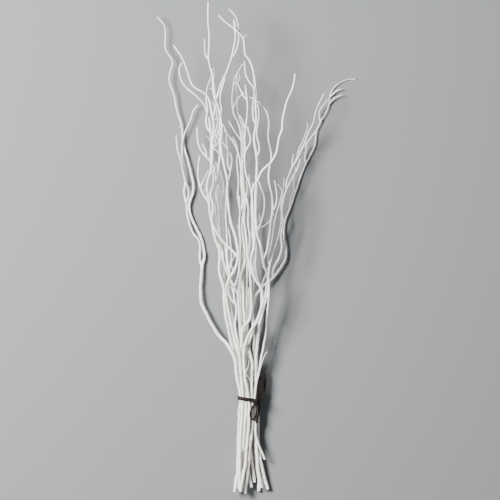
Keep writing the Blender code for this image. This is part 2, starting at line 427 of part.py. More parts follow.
def crossings(branches):
    """Every pair of sample points of two tubes that would touch in plan, and the rise that parts them."""
    ring, share, place, radius, owner = [], [], [], [], []
    first = 0
    for number, branch in enumerate(branches):
        for i, t in samples(branch):
            ring.append(first + i)
            share.append(t)
            place.append(branch.plan[i] * (1 - t) + branch.plan[i + 1] * t)
            radius.append(branch.radius_at((i, t)))
            owner.append(number)
        first += len(branch.plan)
    ring, share, place = np.array(ring), np.array(share), np.array(place)
    radius, owner = np.array(radius), np.array(owner)
    order = np.array([b.order for b in branches])[owner]
    upper, lower, rise = [], [], []
    for i in range(len(place)):
        reach = (radius[i] + radius) * CORNER + 1.5 * GAP
        apart = np.hypot(place[:, 0] - place[i, 0], place[:, 1] - place[i, 1])
        hit = np.nonzero((apart < reach) & (order < order[i]))[0]
        upper.extend([i] * len(hit))
        lower.extend(hit.tolist())
        rise.extend(np.sqrt(reach[hit] ** 2 - apart[hit] ** 2).tolist())
    return ring, share, np.array(upper), np.array(lower), np.array(rise)


def settle(branches, rounds, ease):
    """Raise and lower the rings until every crossing clears."""
    ring, share, upper, lower, rise = crossings(branches)
    floor = np.concatenate([b.radius * CORNER for b in branches])
    level = np.concatenate([b.plan[:, 1] for b in branches])
    floor = np.where(np.abs(level - TIE_Y) < 24, np.maximum(floor, tie_floor()), floor)
    edges = np.concatenate([[0], np.cumsum([len(b.plan) for b in branches])])
    z = np.concatenate([b.z for b in branches])
    for turn in range(rounds):
        easing = turn < ease
        if easing and turn % 5 == 0:
            for number, branch in enumerate(branches):
                branch.z = z[edges[number]:edges[number + 1]]
                if branch.parent is not None:
                    aim_shoot(branch)
            wish = np.concatenate([b.wish for b in branches])
            z = z + 0.12 * (wish - z)
            for number, branch in enumerate(branches):
                part = z[edges[number]:edges[number + 1]]
                if len(part) > 2:
                    part[1:-1] = 0.7 * part[1:-1] + 0.15 * (part[:-2] + part[2:])
        height = z[ring] * (1 - share) + z[ring + 1] * share
        lack = rise - (height[upper] - height[lower])
        bad = lack > 0
        if not bad.any():
            if not easing:
                break
            continue
        up = np.zeros(len(z))
        down = np.zeros(len(z))
        half = 0.6 * lack[bad]
        for ends, other in ((upper[bad], up), (lower[bad], down)):
            near = 1 - share[ends]
            far = share[ends]
            norm = near ** 2 + far ** 2
            np.maximum.at(other, ring[ends], half * near / norm)
            np.maximum.at(other, ring[ends] + 1, half * far / norm)
        z = np.maximum(z + up - down, floor)
    for number, branch in enumerate(branches):
        branch.z = z[edges[number]:edges[number + 1]].copy()
    return float(np.max(np.maximum(lack, 0))), turn


def tube_mesh(name, line, radius, surface, sides, closed=False):
    """One closed solid along a line of points, flat at both ends or joined into a ring."""
    line = [Vector(p) for p in line]
    count = len(line)
    bm = bmesh.new()
    rings = []
    for i in range(count):
        back = line[i - 1] if (i > 0 or closed) else line[i]
        ahead = line[(i + 1) % count] if (i < count - 1 or closed) else line[i]
        way = (ahead - back).normalized()
        side = way.cross(Vector((0, 0, 1)))
        if closed:
            side = Vector((0, 1, 0))
        side.normalize()
        lift = side.cross(way).normalized()
        ring = []
        for k in range(sides):
            angle = 2 * math.pi * (k + 0.5) / sides
            spread = side * math.cos(angle) + lift * math.sin(angle)
            ring.append(bm.verts.new((line[i] + spread * radius[i] * CORNER) * SQUARE))
        rings.append(ring)
    pairs = count if closed else count - 1
    for i in range(pairs):
        a = rings[i]
        b = rings[(i + 1) % count]
        for k in range(sides):
            n = (k + 1) % sides
            bm.faces.new((a[k], a[n], b[n], b[k]))
    if not closed:
        bm.faces.new(list(reversed(rings[0])))
        bm.faces.new(rings[-1])
    bmesh.ops.triangulate(bm, faces=bm.faces[:], ngon_method="EAR_CLIP")
    bmesh.ops.recalc_face_normals(bm, faces=bm.faces[:])
    mesh = bpy.data.meshes.new(name)
    bm.to_mesh(mesh)
    bm.free()
    mesh.shade_smooth()
    mesh.set_sharp_from_angle(angle=math.radians(65))
    mesh.materials.append(surface)
    made = bpy.data.objects.new(name, mesh)
    bpy.context.scene.collection.objects.link(made)
    return made


def bow_branch(name):
    order, heights, text = BOW[name]
    curve = smooth(points(text), ROUTE_STEP)
    plan = drop_crowded(thin_out(curve, 0.25), 2.4)
    branch = Branch(name, order, plan, np.full(len(plan), TWINE_RADIUS))
    branch.wish = np.interp(branch.along / branch.along[-1], [0, 1], heights)
    branch.z = branch.wish.copy()
    return branch


def sections(branches, y):
    """Centre and reach of every stem where it passes the given level."""
    found = []
    for branch in branches:
        for i in range(len(branch.plan) - 1):
            low, high = branch.plan[i][1], branch.plan[i + 1][1]
            if low <= y < high and branch.name in STEMS:
                t = (y - low) / (high - low)
                x = branch.plan[i][0] * (1 - t) + branch.plan[i + 1][0] * t
                found.append((x, branch.height_at((i, t)), branch.radius_at((i, t)) * CORNER))
    return np.array(found)


def turn_line(branches, y):
    """The route of one turn of twine, pulled tight round the stems."""
    found = sections(branches, y)
    reach = found[:, 2] + 2 * GAP + TWINE_RADIUS * CORNER
    angles = np.radians(np.arange(0, 360, 1.0))
    ways = np.stack([np.cos(angles), np.sin(angles)], axis=1)
    outer = np.argmax(ways @ found[:, :2].T + reach, axis=1)
    start = int(np.nonzero(outer != np.roll(outer, 1))[0][0])
    outer = np.roll(outer, -start)
    angles = np.unwrap(np.roll(angles, -start))
    line = []
    first = 0
    while first < 360:
        last = first
        while last + 1 < 360 and outer[last + 1] == outer[first]:
            last += 1
        sweep = math.degrees(angles[last] - angles[first])
        parts = max(1, int(math.ceil(sweep / ARC_STEP)))
        stem = found[outer[first]]
        out = reach[outer[first]] / math.cos(math.radians(sweep / parts / 2))
        for n in range(parts + 1):
            angle = angles[first] + math.radians(sweep) * n / parts
            x = stem[0] + out * math.cos(angle)
            line.append((x, y + TIE_SLOPE * (x - WAIST_X), stem[1] + out * math.sin(angle)))
            if sweep < 6:
                break
        first = last + 1
    return line


def highest_near_knot(line):
    """How high the twine runs under the knot."""
    top = 0.0
    for a, b in zip(line, line[1:] + line[:1]):
        for n in range(11):
            x = a[0] + (b[0] - a[0]) * n / 10
            if abs(x - KNOT_PLACE[0]) < KNOT_SIZE[0] + 0.5:
                top = max(top, a[2] + (b[2] - a[2]) * n / 10)
    return top


def knot_mesh(height, surface):
    bm = bmesh.new()
    bmesh.ops.create_icosphere(bm, subdivisions=2, radius=1.0)
    for v in bm.verts:
        lump = 1 + 0.06 * math.sin(5 * v.co.x + 2) * math.cos(4 * v.co.y)
        v.co.x = (v.co.x * lump * KNOT_SIZE[0] + KNOT_PLACE[0]) * SQUARE
        v.co.y = (v.co.y * lump * KNOT_SIZE[1] + KNOT_PLACE[1]) * SQUARE
        v.co.z = (v.co.z * KNOT_SIZE[2] + height) * SQUARE
    mesh = bpy.data.meshes.new("twine_knot")
    bm.to_mesh(mesh)
    bm.free()
    mesh.materials.append(surface)
    made = bpy.data.objects.new("twine_knot", mesh)
    bpy.context.scene.collection.objects.link(made)
    return made


def tie_bundle(branches, surface):
    top = 0.0
    for name, away in (("twine_turn_lower", -0.5), ("twine_turn_upper", 0.5)):
        line = turn_line(branches, TIE_Y + away * TURN_PITCH)
        top = max(top, highest_near_knot(line))
        tube_mesh(name, line, [TWINE_RADIUS] * len(line), surface, TWINE_SIDES, closed=True)
    knot_mesh(top + TWINE_RADIUS * CORNER + 2 * GAP + KNOT_SIZE[2] * 1.02, surface)


def grow_branches():
    branches = {}
    for order, name in enumerate(STEMS):
        branches[name] = stem_branch(name, order)
    for name in SHOOTS:
        branches[name] = shoot_branch(name, branches)
    for name in BOW:
        branches[name] = bow_branch(name)
    left, turns = settle(list(branches.values()), 900, 500)
    print("branches", len(branches), "clearance still missing", round(left, 4), "after", turns)
    return branches


def centre_all():
    """Move everything so that the origin is at the bottom centre of the whole."""
    corners = [v.co for o in bpy.data.objects for v in o.data.vertices]
    low = [min(c[k] for c in corners) for k in range(3)]
    high = [max(c[k] for c in corners) for k in range(3)]
    shift = Vector(((low[0] + high[0]) / 2, (low[1] + high[1]) / 2, low[2]))
    for thing in bpy.data.objects:
        for v in thing.data.vertices:
            v.co -= shift
    print("size", [round(high[k] - low[k], 4) for k in range(3)])
    print("shift in squares", [round(s / SQUARE, 3) for s in shift])


def build():
    clear_scene()
    bark = material("painted_bark", PAINTED_BARK, 0.75)
    twine = material("dark_twine", DARK_TWINE, 0.85)
    branches = grow_branches()
    for branch in branches.values():
        line = [(p[0], p[1], z) for p, z in zip(branch.plan, branch.z)]
        if branch.name in BOW:
            tube_mesh(branch.name, line, branch.radius, twine, TWINE_SIDES)
        else:
            tube_mesh(branch.name, line, branch.radius, bark, SIDES)
    tie_bundle(branches.values(), twine)
    centre_all()
    total = sum(len(o.data.polygons) for o in bpy.data.objects if o.type == "MESH")
    print("nodes", len(bpy.data.objects), "triangles", total)
    for name, branch in branches.items():
        print(name, len(branch.plan), "z mm", (branch.z[[0, len(branch.z) // 2, -1]] / MM).round(0).tolist(),
              "top", round(float(branch.z.max()) / MM))


build()
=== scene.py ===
# %% [markdown]
# # A tied bundle of curly willow
# The real object is a florist's bundle: long willow branches, dried, dipped in matte white paint and bound
# near the feet with dark twine. It lies on a table and the camera looks straight down on it.
# The fixed model gives every branch as a plain six-sided tube. This lesson grows a finished branch along
# each of those tubes, with knuckles, bark ridges and forks that flow out of the parent's wood, because the
# tubes already hold the sizes and the places, and only the surface is missing.

# %% Start clean and load the fixed model
import json
import math

import bmesh
import bpy
import numpy as np
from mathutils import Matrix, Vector

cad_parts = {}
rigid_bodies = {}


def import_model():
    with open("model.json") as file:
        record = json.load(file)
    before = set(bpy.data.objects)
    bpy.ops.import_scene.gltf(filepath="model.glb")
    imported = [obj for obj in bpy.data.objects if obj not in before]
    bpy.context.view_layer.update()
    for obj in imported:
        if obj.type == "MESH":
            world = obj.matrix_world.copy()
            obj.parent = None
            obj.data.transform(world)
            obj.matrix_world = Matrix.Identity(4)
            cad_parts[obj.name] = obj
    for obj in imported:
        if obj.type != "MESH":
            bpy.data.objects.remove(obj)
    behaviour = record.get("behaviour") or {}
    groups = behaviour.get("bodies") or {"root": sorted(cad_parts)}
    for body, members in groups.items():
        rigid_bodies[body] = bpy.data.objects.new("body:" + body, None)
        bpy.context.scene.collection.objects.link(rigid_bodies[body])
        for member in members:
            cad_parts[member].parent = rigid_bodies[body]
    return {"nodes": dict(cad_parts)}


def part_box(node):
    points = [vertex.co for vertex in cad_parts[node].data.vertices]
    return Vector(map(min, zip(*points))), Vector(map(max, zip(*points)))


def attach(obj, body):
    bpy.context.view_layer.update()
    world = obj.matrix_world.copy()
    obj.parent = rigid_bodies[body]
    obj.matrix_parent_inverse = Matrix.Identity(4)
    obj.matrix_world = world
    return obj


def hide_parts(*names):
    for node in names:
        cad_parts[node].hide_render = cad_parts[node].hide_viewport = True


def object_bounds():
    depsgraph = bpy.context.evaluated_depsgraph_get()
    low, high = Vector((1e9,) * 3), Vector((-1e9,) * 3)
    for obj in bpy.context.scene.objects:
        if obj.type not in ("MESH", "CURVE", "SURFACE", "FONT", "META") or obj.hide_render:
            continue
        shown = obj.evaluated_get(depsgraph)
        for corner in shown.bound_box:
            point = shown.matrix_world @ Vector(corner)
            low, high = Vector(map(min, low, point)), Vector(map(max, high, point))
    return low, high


for thing in list(bpy.data.objects):
    bpy.data.objects.remove(thing, do_unlink=True)

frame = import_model()
cad_low, cad_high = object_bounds()
MM = 0.001
print("nodes", len(frame["nodes"]), "box", [round(c, 4) for c in cad_high - cad_low])

# %% [markdown]
# The branches were drawn on squared paper of 2.5 mm, with the foot line at zero and the bundle's axis near
# the middle. These two functions turn a point of the paper into a place in the scene, in metres.

# %% From squared paper to metres
SQUARE = 2.5 * MM
PAPER_SHIFT = np.array([5.274, 247.488])


def on_paper(text):
    pairs = [tuple(float(n) for n in pair.split(",")) for pair in text.split()]
    return (np.array(pairs) - PAPER_SHIFT) * SQUARE


def paper_place(x, y, z=0.0):
    return Vector(((x - PAPER_SHIFT[0]) * SQUARE, (y - PAPER_SHIFT[1]) * SQUARE, z))


print("the paper's zero lies at", [round(c, 3) for c in on_paper("0,0")[0]], "m")

# %% [markdown]
# ## The camera
# The photograph is taken square on, from far away, so the branches hardly converge. A very long lens far
# above the table does the same. It is aimed at the middle of the picture, at half the bundle's height.

# %% Camera
LENS = 900.0
SENSOR = 36.0
PICTURE_WIDTH = 500 * SQUARE
AIM = (-0.7, 245.7)
middle = paper_place(*AIM, (cad_high.z + cad_low.z) / 2)
camera_data = bpy.data.cameras.new("camera")
camera_data.lens = LENS
camera_data.sensor_width = SENSOR
camera_data.clip_end = 100.0
camera = bpy.data.objects.new("camera", camera_data)
camera.location = middle + Vector((0, 0, PICTURE_WIDTH * LENS / SENSOR))
bpy.context.scene.collection.objects.link(camera)
bpy.context.scene.camera = camera
print("camera height", round(camera.location.z, 2), "m")

# %% [markdown]
# ## Reading the tubes
# Each tube is a row of rings with the same number of corners. Starting from the ring at its foot and
# stepping along the edges, every step reaches exactly the next ring. The middle of each ring is a point of
# the branch's centre line, and its corners give the thickness there. The corners stand 5 % outside the
# round branch, and the flat sides between them lie a little inside it.

# %% Rings of a tube
BRANCH_CORNERS = 6
CORNER_REACH = 1.05
WELD = 2e-5


def rings_of(node, sides, start=None):
    bm = bmesh.new()
    bm.from_mesh(frame["nodes"][node].data)
    bmesh.ops.remove_doubles(bm, verts=bm.verts, dist=WELD)
    if start is None:
        order = sorted(bm.verts, key=lambda v: v.co.y)
    else:
        order = sorted(bm.verts, key=lambda v: (v.co - start).xy.length)
    ring = order[:sides]
    seen = set(ring)
    middles, sizes = [], []
    while ring:
        centre = sum((v.co for v in ring), Vector()) / len(ring)
        middles.append(np.array(centre))
        sizes.append(sum((v.co - centre).length for v in ring) / len(ring) / CORNER_REACH)
        step = []
        for v in ring:
            for edge in v.link_edges:
                other = edge.other_vert(v)
                if other not in seen:
                    seen.add(other)
                    step.append(other)
        ring = step
    bm.free()
    return np.array(middles), np.array(sizes)


branch_nodes = sorted(n for n in frame["nodes"] if n.startswith(("stem", "shoot")))
rings = {n: rings_of(n, BRANCH_CORNERS) for n in branch_nodes}
print("branches", len(rings), "rings", sum(len(middles) for middles, sizes in rings.values()))

# %% [markdown]
# ## A flowing centre line
# Willow bends in long easy curves with a small kink at every knuckle. A cubic curve through the ring
# middles gives the easy part. Its slope at each point is shared out by the lengths on both sides, so that
# uneven spacing makes hardly any overshoot.

# %% Flowing line
def flow(middles, sizes, step):
    gaps = np.linalg.norm(np.diff(middles, axis=0), axis=1)
    run = np.diff(middles, axis=0) / gaps[:, None]
    slope = np.vstack([run[:1], np.zeros((len(middles) - 2, 3)), run[-1:]])
    for i in range(1, len(middles) - 1):
        slope[i] = (run[i - 1] * gaps[i] + run[i] * gaps[i - 1]) / (gaps[i - 1] + gaps[i])
    line, thick = [], []
    for i, gap in enumerate(gaps):
        cuts = max(1, int(round(gap / step)))
        last = i == len(gaps) - 1
        for n in range(cuts + last):
            t = n / cuts
            here = 2 * t ** 3 - 3 * t ** 2 + 1
            there = 3 * t ** 2 - 2 * t ** 3
            leaving = t ** 3 - 2 * t ** 2 + t
            arriving = t ** 3 - t ** 2
            bend = gap * (leaving * slope[i] + arriving * slope[i + 1])
            line.append(here * middles[i] + there * middles[i + 1] + bend)
            thick.append(sizes[i] * (1 - t) + sizes[i + 1] * t)
    return np.array(line), np.array(thick)


def length_along(line):
    return np.concatenate([[0.0], np.cumsum(np.linalg.norm(np.diff(line, axis=0), axis=1))])


sample = flow(*rings["stem_01"], 2.0 * MM)[0]
print("stem_01 has", len(sample), "points over", round(length_along(sample)[-1], 3), "m")

# %% [markdown]
# ## Colours and nodes
# Colours are picked as sRGB hex values, the way a paint chart gives them. Shaders work in linear light, so
# one function converts them. Another small function adds a shader node with its settings and links.

# %% Colour and node helpers
def linear(hex_code):
    values = [int(hex_code[i:i + 2], 16) / 255 for i in (1, 3, 5)]
    return tuple(v / 12.92 if v <= 0.04045 else ((v + 0.055) / 1.055) ** 2.4 for v in values) + (1.0,)


def add_node(tree, kind, settings=None, **links):
    node = tree.nodes.new(kind)
    for name, value in (settings or {}).items():
        if isinstance(name, int) or name in node.inputs:
            node.inputs[name].default_value = value
        else:
            setattr(node, name, value)
    for name, source in links.items():
        tree.links.new(source, node.inputs[name.replace("_", " ")])
    return node


def new_material(name, roughness, specular):
    material = bpy.data.materials.new(name)
    material.use_nodes = True
    tree = material.node_tree
    surface = tree.nodes["Principled BSDF"]
    surface.inputs["Roughness"].default_value = roughness
    surface.inputs["Specular IOR Level"].default_value = specular
    return material, tree, surface


def colour_ramp(tree, source, stops):
    ramp = add_node(tree, "ShaderNodeValToRGB", Fac=source)
    while len(ramp.color_ramp.elements) < len(stops):
        ramp.color_ramp.elements.new(0.5)
    for element, (place, colour) in zip(ramp.color_ramp.elements, stops):
        element.position = place
        element.color = colour
    return ramp.outputs["Color"]


print("#808080 in linear light is", round(linear("#808080")[0], 3))

# %% [markdown]
# ## Painted willow bark
# The branches were dipped in a thin matte white emulsion, so there is almost no gloss, and the paint only
# softens the bark under it. Three things still show: fine ridges that run lengthwise, about 0.7 mm apart,
# small raised pores about 1.5 mm long, and a cloudy tone where the coat is thinner. The grooves between the
# ridges are also darkened in the colour itself, which is painted shade. Every tube carries a map whose units
# are metres round and along the branch, so the patterns keep their real size. From as far as this camera
# they merge into a soft, slightly uneven white, and they show from nearer.

# %% Painted bark material
RIDGE_WIDTH = 0.7 * MM
RIDGE_LENGTH = 9.0 * MM
PORE_SPACING = 4.5 * MM
PORE_NARROWING = 0.6
CLOUD = 40.0 * MM
BARK_RELIEF = 0.25 * MM


def stretched(tree, across, along):
    place = add_node(tree, "ShaderNodeUVMap", {"uv_map": "skin"})
    return add_node(tree, "ShaderNodeMapping", {"Scale": (1 / across, 1 / along, 1.0)},
                    Vector=place.outputs["UV"]).outputs["Vector"]


def painted_bark_material():
    material, tree, surface = new_material("matte_white_emulsion_on_willow_bark",
                                           roughness=0.62, specular=0.35)
    ridges = add_node(tree, "ShaderNodeTexNoise", {"Scale": 1.0, "Detail": 3.0, "Roughness": 0.55},
                      Vector=stretched(tree, RIDGE_WIDTH, RIDGE_LENGTH))
    pores = add_node(tree, "ShaderNodeTexVoronoi", {"Scale": 1.0, "Randomness": 1.0},
                     Vector=stretched(tree, PORE_SPACING * PORE_NARROWING, PORE_SPACING))
    pore = add_node(tree, "ShaderNodeMapRange",
                    {"From Min": 0.10, "From Max": 0.2, "To Min": 1.0, "To Max": 0.0},
                    Value=pores.outputs["Distance"])
    clouds = add_node(tree, "ShaderNodeTexNoise", {"Scale": 1 / CLOUD, "Detail": 4.0, "Roughness": 0.6},
                      Vector=add_node(tree, "ShaderNodeTexCoord").outputs["Object"])
    coat = colour_ramp(tree, clouds.outputs["Fac"], [(0.30, linear("#DAD7D0")), (0.52, linear("#ECEAE5")),
                                                     (0.75, linear("#F5F4F0"))])
    # Painted shade: the grooves between the ridges are darkened in the colour, on top of the bump's own
    # shading.
    painted_groove_shade = colour_ramp(tree, ridges.outputs["Fac"], [(0.30, linear("#A9A399")), (0.46, linear("#FFFFFF"))])
    coat_with_groove_shade = add_node(tree, "ShaderNodeMixRGB", {"blend_type": "MULTIPLY", "Fac": 0.55}, Color1=coat,
                       Color2=painted_groove_shade)
    spotted = add_node(tree, "ShaderNodeMixRGB", {"Color2": linear("#CFC9BC")}, Fac=pore.outputs["Result"],
                       Color1=coat_with_groove_shade.outputs["Color"])
    tree.links.new(spotted.outputs["Color"], surface.inputs["Base Color"])
    height = add_node(tree, "ShaderNodeMath", {"operation": "MULTIPLY_ADD", 1: 0.5},
                      Value=pore.outputs["Result"])
    tree.links.new(ridges.outputs["Fac"], height.inputs[2])
    bump = add_node(tree, "ShaderNodeBump", {"Strength": 0.55, "Distance": BARK_RELIEF},
                    Height=height.outputs["Value"])
    tree.links.new(bump.outputs["Normal"], surface.inputs["Normal"])
    return material


painted_bark = painted_bark_material()

# %% [markdown]
# The feet and tips are cut straight across with shears. A cut shows paler wood under a thin smear of the
# same paint. Its pith and year rings are finer than the picture can show, so each cut has one flat tone. The
# tone goes up and down with the width of the cut, so that neighbouring cuts differ a little.

# %% Cut wood material
TONE_STEP = 0.45 * MM


def cut_wood_material():
    material, tree, surface = new_material("shear_cut_willow_wood", roughness=0.75, specular=0.3)
    place = add_node(tree, "ShaderNodeUVMap", {"uv_map": "skin"})
    width = add_node(tree, "ShaderNodeVectorMath", {"operation": "LENGTH"}, Vector=place.outputs["UV"])
    swing = add_node(tree, "ShaderNodeMath", {"operation": "PINGPONG", 1: TONE_STEP},
                     Value=width.outputs["Value"])
    share = add_node(tree, "ShaderNodeMath", {"operation": "DIVIDE", 1: TONE_STEP},
                     Value=swing.outputs["Value"])
    tone = colour_ramp(tree, share.outputs["Value"], [(0.0, linear("#B89F7C")), (0.3, linear("#DCCFB8")),
                                                      (1.0, linear("#E8E0D0"))])
    tree.links.new(tone, surface.inputs["Base Color"])
    return material


cut_wood = cut_wood_material()
print("materials", painted_bark.name, cut_wood.name)

# %% [markdown]
# ## Growing a branch
# A branch could be a curve with a round bevel, but then it would be smooth and perfectly round. Here the
# skin is laid ring by ring instead. First come the knuckles, the places where leaves sat. They follow each
# other every 18 to 42 mm and turn round the branch by a bit more than a third, which is how willow sets its
# leaves.

# %% Knuckles
FIRST_KNUCKLE = (6, 20)
KNUCKLE_GAP = (18, 42)
KNUCKLE_SWELL = (0.07, 0.17)
KNUCKLE_WIDTH = (1.6, 3.0)
BARE_END = 4 * MM
LEAF_TURN = 2.4
ANY_TURN = 6.28


def knuckles_for(seed, length):
    chance = np.random.default_rng(seed)
    found = []
    place = chance.uniform(*FIRST_KNUCKLE) * MM
    turn = chance.uniform(0, ANY_TURN)
    while place < length - BARE_END:
        found.append((place, turn, chance.uniform(*KNUCKLE_SWELL), chance.uniform(*KNUCKLE_WIDTH) * MM))
        place += chance.uniform(*KNUCKLE_GAP) * MM
        turn += LEAF_TURN + chance.uniform(-0.4, 0.4)
    return found


print("knuckles on a stem of 1.2 m:", len(knuckles_for(0, 1.2)))

# %% [markdown]
# A ring needs two directions square to the branch, one level and one upright. A row of corners round the
# centre line is then made from them. The same two steps serve the branches, the twine and its fuzz.

# %% Directions along a line
NEVER_ZERO = 1e-9


def frames_along(line):
    way = np.gradient(line, axis=0)
    way /= np.linalg.norm(way, axis=1)[:, None]
    side = np.cross(way, np.array([0.0, 0.0, 1.0]))
    side /= np.maximum(np.linalg.norm(side, axis=1), NEVER_ZERO)[:, None]
    lift = np.cross(side, way)
    return way, side, lift


def corners_round(side, lift, count):
    angle = 2 * math.pi * np.arange(count) / count
    ring = side[:, None, :] * np.cos(angle)[None, :, None] + lift[:, None, :] * np.sin(angle)[None, :, None]
    return angle, ring


# %% [markdown]
# No branch is an ideal curve, so small kinks of three wavelengths are added, from 17 to 47 mm. They grow
# with the branch's thickness and die out in the last 20 mm, so that the ends stay where they are.

# %% Small kinks
KINK_WAVES = (0.017, 0.029, 0.047)
KINK_SIZE = 0.06
STILL_END = 0.02


def wander(line, thick, seed):
    chance = np.random.default_rng(seed + 1000)
    along = length_along(line)
    way, side, lift = frames_along(line)
    ends = np.clip(along / STILL_END, 0, 1) * np.clip((along[-1] - along) / STILL_END, 0, 1)
    out = line.copy()
    for axis in (side, lift):
        for wave in KINK_WAVES:
            size = KINK_SIZE * thick * chance.uniform(0.5, 1.0) * (wave / KINK_WAVES[1]) ** 0.7
            swing = np.sin(2 * math.pi * along / wave + chance.uniform(0, ANY_TURN))
            out += axis * (size * ends * swing)[:, None]
    return out


# %% [markdown]
# Each ring of the skin is a circle pushed out by long soft ribs that wind round the branch, and at every
# knuckle by a swelling with a bud on one side. All of these are shares of the branch's own thickness.

# %% Skin of a branch
AROUND = 10
RING_STEP = 2.0 * MM
BROAD_RIBS, BROAD_WIND = 0.03, 0.045
NARROW_RIBS, NARROW_WIND = 0.02, 0.03
UNEVENNESS, SHORT_WAVE, LONG_WAVE = 0.04, 0.011, 0.037
SWELL_ROUND, SWELL_BUD = 0.6, 1.5


def bark_skin(line, thick, seed, swells=()):
    along = length_along(line)
    way, side, lift = frames_along(line)
    angle, ring = corners_round(side, lift, AROUND)
    chance = np.random.default_rng(seed + 2000)
    phase = chance.uniform(0, ANY_TURN, 3)
    down = along[:, None]
    bulge = BROAD_RIBS * np.sin(3 * angle[None, :] + down / BROAD_WIND + phase[0])
    bulge = bulge + NARROW_RIBS * np.sin(5 * angle[None, :] - down / NARROW_WIND + phase[1])
    bulge = bulge + UNEVENNESS * np.sin(down / SHORT_WAVE + phase[2]) * np.sin(down / LONG_WAVE)
    for place, turn, size, width in knuckles_for(seed, along[-1]) + list(swells):
        near = np.exp(-((down - place) / width) ** 2)
        bud = np.maximum(0, np.cos(angle[None, :] - turn)) ** 3
        bulge = bulge + size * near * (SWELL_ROUND + SWELL_BUD * bud)
    reach = thick[:, None] * (1 + bulge)
    return line[:, None, :] + ring * reach[:, :, None], along


# %% [markdown]
# The skin becomes a mesh with quads along the branch and a flat cap at each cut. The cap has its own inner
# ring, which keeps the edge of the cut crisp, and it gets the cut wood. Every face also gets its place on
# the map called skin, in metres.

# %% Sides and cuts of a skin
SKIN_FACE, CUT_FACE = 0, 1
CUT_RIM = 0.86


def add_sides(sheet, points, along, thick):
    rows, cols = points.shape[:2]
    base = len(sheet["verts"])
    sheet["verts"].extend(points.reshape(-1, 3).tolist())
    girth = 2 * math.pi * float(np.mean(thick))
    for i in range(rows - 1):
        for k in range(cols):
            n = (k + 1) % cols
            sheet["faces"].append((base + i * cols + k, base + (i + 1) * cols + k,
                                   base + (i + 1) * cols + n, base + i * cols + n))
            left, right = k / cols * girth, (k + 1) / cols * girth
            sheet["corners"].extend([(left, along[i]), (left, along[i + 1]),
                                     (right, along[i + 1]), (right, along[i])])
            sheet["slots"].append(SKIN_FACE)
    return base


def add_cut(sheet, ring, outer, ahead, face):
    cols = len(ring)
    centre = ring.mean(axis=0)
    inner = len(sheet["verts"])
    sheet["verts"].extend((centre + (ring - centre) * CUT_RIM).tolist())
    hub = len(sheet["verts"])
    sheet["verts"].append(centre.tolist())
    spread = np.linalg.norm(ring - centre, axis=1).mean()
    for k in range(cols):
        n = (k + 1) % cols
        rim = (outer + k, inner + k, inner + n, outer + n)
        pie = (inner + k, hub, inner + n)
        sheet["faces"].extend([rim, pie] if ahead else [rim[::-1], pie[::-1]])
        sheet["corners"].extend([(spread, 0.0)] * 7)
        sheet["slots"].extend([face, face])


# %% [markdown]
# One call makes an object from one skin or from many. A finished branch is a little rounder than its tube,
# so the lowest ones would dip below the table here and there. Their points are held level with it.

# %% Mesh from skins
SHARP_FROM = math.radians(50)


def mesh_from_skins(name, skins, materials):
    sheet = {"verts": [], "faces": [], "corners": [], "slots": []}
    for points, along, thick, cut in skins:
        points[:, :, 2] = np.maximum(points[:, :, 2], 0.0)
        rows, cols = points.shape[:2]
        base = add_sides(sheet, points, along, thick)
        add_cut(sheet, points[0], base, False, cut)
        add_cut(sheet, points[-1], base + (rows - 1) * cols, True, cut)
    mesh = bpy.data.meshes.new(name)
    mesh.from_pydata(sheet["verts"], [], sheet["faces"])
    for material in materials:
        mesh.materials.append(material)
    mesh.polygons.foreach_set("material_index", sheet["slots"])
    layer = mesh.uv_layers.new(name="skin")
    layer.data.foreach_set("uv", np.array(sheet["corners"], dtype=float).ravel())
    mesh.update()
    bm = bmesh.new()
    bm.from_mesh(mesh)
    bmesh.ops.recalc_face_normals(bm, faces=bm.faces[:])
    bm.to_mesh(mesh)
    bm.free()
    mesh.shade_smooth()
    mesh.set_sharp_from_angle(angle=SHARP_FROM)
    made = bpy.data.objects.new(name, mesh)
    bpy.context.scene.collection.objects.link(made)
    return made


# %% [markdown]
# ## Forks
# A side shoot of the fixed model begins just beside its parent's bark. The finished shoot begins earlier,
# inside the parent, and leaves along the parent's own direction, so the fork opens as a narrow V with a
# swollen collar. First the table says which branch each shoot grows from.

# %% Which branch each shoot grows from
PARENTS = {
    "shoot_01a": "stem_01", "shoot_01b": "shoot_01a", "shoot_02a": "stem_02", "shoot_02b": "shoot_02a",
    "shoot_02c": "stem_02", "shoot_02d": "shoot_02c", "shoot_02e": "stem_02", "shoot_02f": "shoot_02b",
    "shoot_02g": "shoot_02a", "shoot_03a": "stem_03", "shoot_05a": "stem_05", "shoot_05b": "stem_05",
    "shoot_07a": "stem_07", "shoot_08a": "stem_08", "shoot_08b": "stem_08", "shoot_09a": "stem_09",
    "shoot_10a": "stem_10", "shoot_10b": "stem_10", "shoot_10c": "stem_10", "shoot_10d": "stem_10",
    "shoot_10e": "shoot_10d", "shoot_13a": "stem_13", "shoot_13b": "shoot_13a", "shoot_13c": "shoot_13a",
    "shoot_13d": "stem_13", "shoot_14a": "stem_14", "shoot_15a": "stem_15", "shoot_15b": "stem_15",
    "shoot_15c": "stem_15", "shoot_15d": "stem_15", "shoot_15e": "stem_15", "shoot_15f": "shoot_15e",
    "shoot_15g": "shoot_15f",
}
print("side shoots", len(PARENTS), "of which on another shoot",
      sum(parent.startswith("shoot") for parent in PARENTS.values()))

# %% [markdown]
# A shoot is rooted inside its parent, a little way down from the fork. That way is worked out from how
# thick both are there. The parent also swells round the root, on the shoot's side.

# %% Root a shoot in its parent
PARENT_SHARE = 1.6
SHOOT_SHARE = 1.2
ROOT_SWELL = 0.16
SWELL_SHARE, SWELL_EXTRA = 0.8, 1.5 * MM
THINNER_THAN_PARENT, THICKER_THAN_SHOOT = 0.8, 1.5


def nearest_row(line, point):
    return int(np.argmin(np.linalg.norm(line - point, axis=1)))


